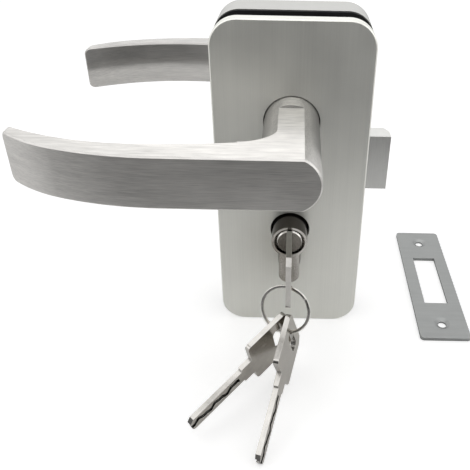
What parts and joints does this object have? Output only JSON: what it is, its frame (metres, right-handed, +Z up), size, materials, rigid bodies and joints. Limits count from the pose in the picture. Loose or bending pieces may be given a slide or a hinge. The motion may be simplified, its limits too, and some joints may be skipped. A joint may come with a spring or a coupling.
{
  "type": "glass door handle lock",
  "caption": "Patch lock for a glass door with a lever on each side, a latch bolt, a round-barrel cylinder with keys on a ring, and a loose strike plate.",
  "frame": {"origin": "middle of the case's bottom edge face, where the lock stands", "axes": "+X to the right along the plates toward the bolt, +Y from the front lever to the rear lever, +Z up"},
  "size_m": [0.2057, 0.1763, 0.161],
  "materials": {
    "satin_plate": "satin brushed",
    "satin_case": "satin brushed",
    "satin_lever": "satin brushed along the lever",
    "satin_bolt": "fine satin",
    "satin_strike": "satin brushed",
    "pressed_steel": "plain pressed",
    "screw_steel": "zinc plated",
    "spring_steel": "drawn",
    "gasket_rubber": "matt",
    "bearing_plastic": "plain",
    "nickel_cylinder": "satin nickel",
    "nickel_plug": "satin nickel",
    "nickel_key": "satin nickel, worn bright at the edges",
    "ring_steel": "bright",
    "pin_brass": "plain"
  },
  "bodies": {
    "lock_body": {"front_plate": "satin_plate", "front_gasket": "gasket_rubber", "rear_gasket": "gasket_rubber", "lock_case": "satin_case", "case_cover": "pressed_steel", "cover_screws": "screw_steel", "clamp_screws": "screw_steel", "clamp_sleeves": "pressed_steel", "front_bearing": "bearing_plastic", "rear_bearing": "bearing_plastic", "latch_spring": "spring_steel", "return_spring": "spring_steel", "cylinder_body": "nickel_cylinder", "cylinder_screw": "screw_steel", "rear_plug": "nickel_plug", "rear_plug_clip": "spring_steel", "driver_pins": "pin_brass", "pin_springs": "spring_steel", "strike_plate": "satin_strike"},
    "handle": {"front_lever": "satin_lever", "rear_lever": "satin_lever", "grub_screws": "screw_steel", "spindle": "pressed_steel", "follower": "pressed_steel"},
    "bolt": {"latch_bolt": "satin_bolt", "bolt_tail": "pressed_steel", "bolt_rivets": "screw_steel"},
    "cap": {"return_cap": "pressed_steel"},
    "core": {"plug_front": "nickel_plug", "cam": "pressed_steel", "key_pins": "pin_brass", "plug_clip": "spring_steel"},
    "slide": {"deadlock_slide": "pressed_steel"},
    "key": {"key_in_lock": "nickel_key"},
    "ring": {"key_ring": "ring_steel"},
    "hanging_left": {"key_left": "nickel_key"},
    "hanging_right": {"key_right": "nickel_key"}
  },
  "joints": [
    {"name": "lever_turn", "type": "hinge", "parent": "lock_body", "child": "handle", "pos_m": [0, -0.0077, 0.1158], "axis": [0, -1, 0], "range_deg": [0, 40], "stiffness_Nm_per_rad": 0.6, "springref_deg": -57.3},
    {"name": "bolt_slide", "type": "slide", "parent": "lock_body", "child": "bolt", "axis": [-1, 0, 0], "range_m": [0, 0.0126], "deforming": ["latch_spring"]},
    {"name": "cap_slide", "type": "slide", "parent": "lock_body", "child": "cap", "axis": [0, 0, 1], "range_m": [0, 0.0091], "deforming": ["return_spring"]},
    {"name": "key_turn", "type": "hinge", "parent": "lock_body", "child": "core", "pos_m": [0, -0.02, 0.05895], "axis": [0, -1, 0], "range_deg": [0, 90]},
    {"name": "deadlock_lift", "type": "slide", "parent": "lock_body", "child": "slide", "axis": [0, 0, 1], "range_m": [0, 0.01415]},
    {"name": "key_pull", "type": "slide", "parent": "core", "child": "key", "axis": [0, -1, 0], "range_m": [0, 0.031]},
    {"name": "ring_swing", "type": "hinge", "parent": "key", "child": "ring", "pos_m": [-0.00006, -0.0583, 0.05134], "axis": [-1, 0, 0], "range_deg": [0, 20]},
    {"name": "left_key_swing", "type": "hinge", "parent": "ring", "child": "hanging_left", "pos_m": [-0.0049, -0.06338, 0.03046], "axis": [-0.8973, 0.3651, 0.2481], "range_deg": [0, 20]},
    {"name": "right_key_swing", "type": "hinge", "parent": "ring", "child": "hanging_right", "pos_m": [0.00057, -0.06513, 0.03046], "axis": [-0.9428, 0.2229, -0.2479], "range_deg": [0, 20]}
  ],
  "couplings": [
    {"joint": "bolt_slide", "follows": "lever_turn", "m_per_rad": 0.018},
    {"joint": "cap_slide", "follows": "lever_turn", "m_per_rad": 0.013},
    {"joint": "deadlock_lift", "follows": "key_turn", "m_per_rad": 0.009}
  ]
}
